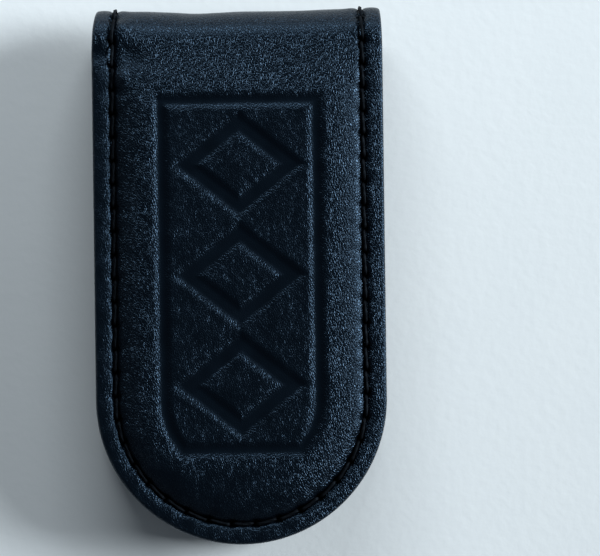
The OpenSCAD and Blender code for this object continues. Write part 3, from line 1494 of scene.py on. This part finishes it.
@dataclass(frozen=True)
class NickelPlate:
    """Nickel plating with fine scuffs."""

    name: str = "NickelPlate"
    dark: Colour = (0.62, 0.6, 0.56)
    light: Colour = (0.74, 0.72, 0.68)

    def build(self) -> bpy.types.Material:
        """Makes the material.

        Returns:
            The material.
        """
        shader = Shader(self.name)
        place = shader.place()
        scuffs = shader.noise(shader.turned(place, (300.0, 6000.0, 300.0), 20), 1.0, 3.0)
        haze = shader.noise(place, 400.0, 2.0)
        colour = shader.mix(haze, self.dark, self.light)
        roughness = 0.18 + 0.2 * shader.step(scuffs, 0.45, 0.75)
        return shader.finish(colour, roughness, scuffs, 0.002, {"Metallic": 1.0})


@dataclass(frozen=True)
class PaleFloor:
    """Matt, nearly white table."""

    name: str = "PaleFloor"
    dark: Colour = (0.82, 0.835, 0.845)
    light: Colour = (0.86, 0.87, 0.875)

    def build(self) -> bpy.types.Material:
        """Makes the material.

        Returns:
            The material.
        """
        shader = Shader(self.name)
        place = shader.place()
        mottle = shader.noise(place, 60.0, 3.0)
        colour = shader.mix(mottle, self.dark, self.light)
        return shader.finish(colour, 0.75 + 0.1 * mottle, shader.noise(place, 700.0, 2.0), 0.03,
                             {"Specular IOR Level": 0.3})


@dataclass
class StrapLeathers:
    """The outer leather and the lining."""

    outer_insets: tuple[Pair, ...] = (
        (0.0, 0.03), (0.06, 0.07), (0.13, 0.1), (0.45, 0.2), (2.05, 0.13), (3.65, 0.3), (8.45, 0.21))
    outer_walls: tuple[Pair, ...] = ((-0.01, 0.3), (-0.02, 0.08), (0.0, -0.1), (0.06, -0.17))
    lining_insets: tuple[Pair, ...] = (
        (0.0, 0.04), (0.08, 0.11), (0.3, 0.35), (2.05, 0.16), (3.65, 0.55))
    lining_walls: tuple[Pair, ...] = ((-0.01, -0.55), (0.0, -0.35), (0.06, -0.23))
    seam_inset: float = 0.14
    board_gap: float = 0.25
    board_inset: float = 6.9
    board_side: float = 0.04
    board_level: float = 1.3

    def outer(self) -> Layer:
        """The outer leather, moulded over the boards.

        Returns:
            The layer.
        """
        board_end = STRAP.fold_s + STRAP.fold_y - STRAP.board_y - self.board_gap
        board_side = self.board_inset + self.board_side
        inner = (self.seam_inset, self.board_inset, board_side, STRAP.half_w)
        section = Section.build(graded(self.outer_insets, STRAP.half_w), STRAP.face_h,
                                self.outer_walls, [(inset, STRAP.seam_h) for inset in inner])
        leather, edge = GrainedLeather().build(), EdgePaint().build()
        return Layer(
            name="grained_leather", section=section, relief=OuterRelief(), outward=1, blend_r=2.7,
            slot="outer_leather", replaced=("{}_outer_leather", "outer_leather_fold_{}"),
            materials=(leather, edge, edge), steps=(0.3, 0.2, 0.2),
            pocket=(self.board_inset + self.board_side / 2, board_end, self.board_level))

    def lining(self) -> Layer:
        """The lining, whose face the notes touch.

        Returns:
            The layer.
        """
        inner = (self.seam_inset, STRAP.half_w)
        section = Section.build(graded(self.lining_insets, STRAP.half_w), -STRAP.face_h,
                                self.lining_walls, [(inset, STRAP.seam_h) for inset in inner])
        leather, edge = SmoothLeather().build(), bpy.data.materials["LeatherEdge"]
        return Layer(
            name="smooth_lining", section=section, relief=LiningRelief(), outward=-1, blend_r=1.9,
            slot="lining_leather", replaced=("{}_lining", "lining_fold_{}"),
            materials=(leather, edge, edge), steps=(0.4, 0.2, 0.4))

    def build(self) -> None:
        """Makes both leathers."""
        for thing in self.outer().build():
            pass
        self.lining().build()


@dataclass
class Stitching:
    """The needle thread on the outside and the bobbin thread on the lining."""

    needle_level: float = 0.93
    bobbin_level: float = 1.0

    def build(self) -> None:
        """Makes both threads."""
        thread = WaxedThread().build()
        Thread(name="needle_stitches", outward=1, level=self.needle_level, fold_lift=0.2, blend_r=3.6,
               replaced=("{}_needle_thread", "needle_thread_fold_{}"), material=thread).build()
        Thread(name="bobbin_stitches", outward=-1, level=self.bobbin_level, fold_lift=0.0, blend_r=2.1,
               replaced=("{}_bobbin_thread", "bobbin_thread_fold_{}"), material=thread).build()


@dataclass
class Core:
    """The boards and magnets inside the pads, which keep their CAD shapes."""

    def build(self) -> None:
        """Gives each board and magnet its material."""
        board, magnet = FibreBoard().build(), NickelPlate().build()
        for name, thing in frame["nodes"].items():
            if name.endswith(("_board", "_magnet")):
                thing.data.materials.clear()
                thing.data.materials.append(board if name.endswith("board") else magnet)
                LOG.info("%s: keeps its CAD shape", name)


@dataclass
class Studio:
    """Camera, floor and lights."""

    camera_at: Point = (8.48, -0.40, 812.4)
    roll: float = -0.75
    lens: float = 341.4
    sensor: float = 36.0
    clip: Pair = (0.01, 10.0)
    floor_half: float = 1.5
    floor_z: float = -0.0002
    sky: Colour = (0.75, 0.88, 1.0)
    sky_strength: float = 0.11
    lamp: Colour = (0.86, 0.95, 1.0)

    def camera(self) -> None:
        """Adds the camera, which looks straight down."""
        data = bpy.data.cameras.new("Camera")
        data.lens, data.sensor_width = self.lens, self.sensor
        data.clip_start, data.clip_end = self.clip
        camera = bpy.data.objects.new("Camera", data)
        camera.location = Vector(self.camera_at) * MM
        camera.rotation_euler = (0.0, 0.0, math.radians(self.roll))
        bpy.context.scene.collection.objects.link(camera)
        bpy.context.scene.camera = camera

    def floor(self) -> None:
        """Adds the table."""
        mesh = bpy.data.meshes.new("floor")
        half = self.floor_half
        corners = [(-half, -half, 0), (half, -half, 0), (half, half, 0), (-half, half, 0)]
        mesh.from_pydata(corners, [], [(0, 1, 2, 3)])
        mesh.materials.append(PaleFloor().build())
        floor = bpy.data.objects.new("floor", mesh)
        floor.location.z = self.floor_z
        bpy.context.scene.collection.objects.link(floor)

    def area(self, name: str, at: Point, size: Pair, watts: float) -> None:
        """Adds a softbox that points at the clip.

        Args:
            name: Its name.
            at: Its place in metres.
            size: Its two sides in metres.
            watts: Its power.
        """
        data = bpy.data.lights.new(name, "AREA")
        data.shape, data.size, data.size_y = "RECTANGLE", *size
        data.energy, data.color = watts, self.lamp
        light = bpy.data.objects.new(name, data)
        facing = Vector(at).to_track_quat("Z", "Y").to_matrix().to_4x4()
        light.matrix_world = Matrix.Translation(at) @ facing
        bpy.context.scene.collection.objects.link(light)

    def sun(self, name: str, azimuth: float, elevation: float, spread: float,
            watts: float) -> None:
        """Adds a distant softbox, which lights the whole table alike.

        Args:
            name: Its name.
            azimuth: Direction it stands in, in degrees from +X towards +Y.
            elevation: Its height above the table, in degrees.
            spread: Its width, in degrees.
            watts: Its power per square metre.
        """
        data = bpy.data.lights.new(name, "SUN")
        data.angle, data.energy, data.color = math.radians(spread), watts, self.lamp
        light = bpy.data.objects.new(name, data)
        light.rotation_euler = (math.radians(90 - elevation), 0.0, math.radians(azimuth + 90))
        bpy.context.scene.collection.objects.link(light)

    def build(self) -> None:
        """Adds everything."""
        self.camera()
        self.floor()
        world = bpy.data.worlds.new("Studio")
        world.use_nodes = True
        background = world.node_tree.nodes["Background"]
        background.inputs[0].default_value = (*self.sky, 1.0)
        background.inputs[1].default_value = self.sky_strength
        bpy.context.scene.world = world
        self.sun("Key", azimuth=10.0, elevation=20.0, spread=28.0, watts=5.5)
        self.area("Top", at=(-0.02, 0.36, 0.20), size=(0.3, 0.12), watts=1.15)
        bpy.context.scene.view_settings.view_transform = "Standard"


def main() -> None:
    """Builds the clip and its studio."""
    logging.basicConfig(level=logging.INFO, format="%(name)s: %(message)s")
    Studio().build()
    StrapLeathers().build()
    Stitching().build()
    Core().build()


if __name__ == "__main__":
    main()
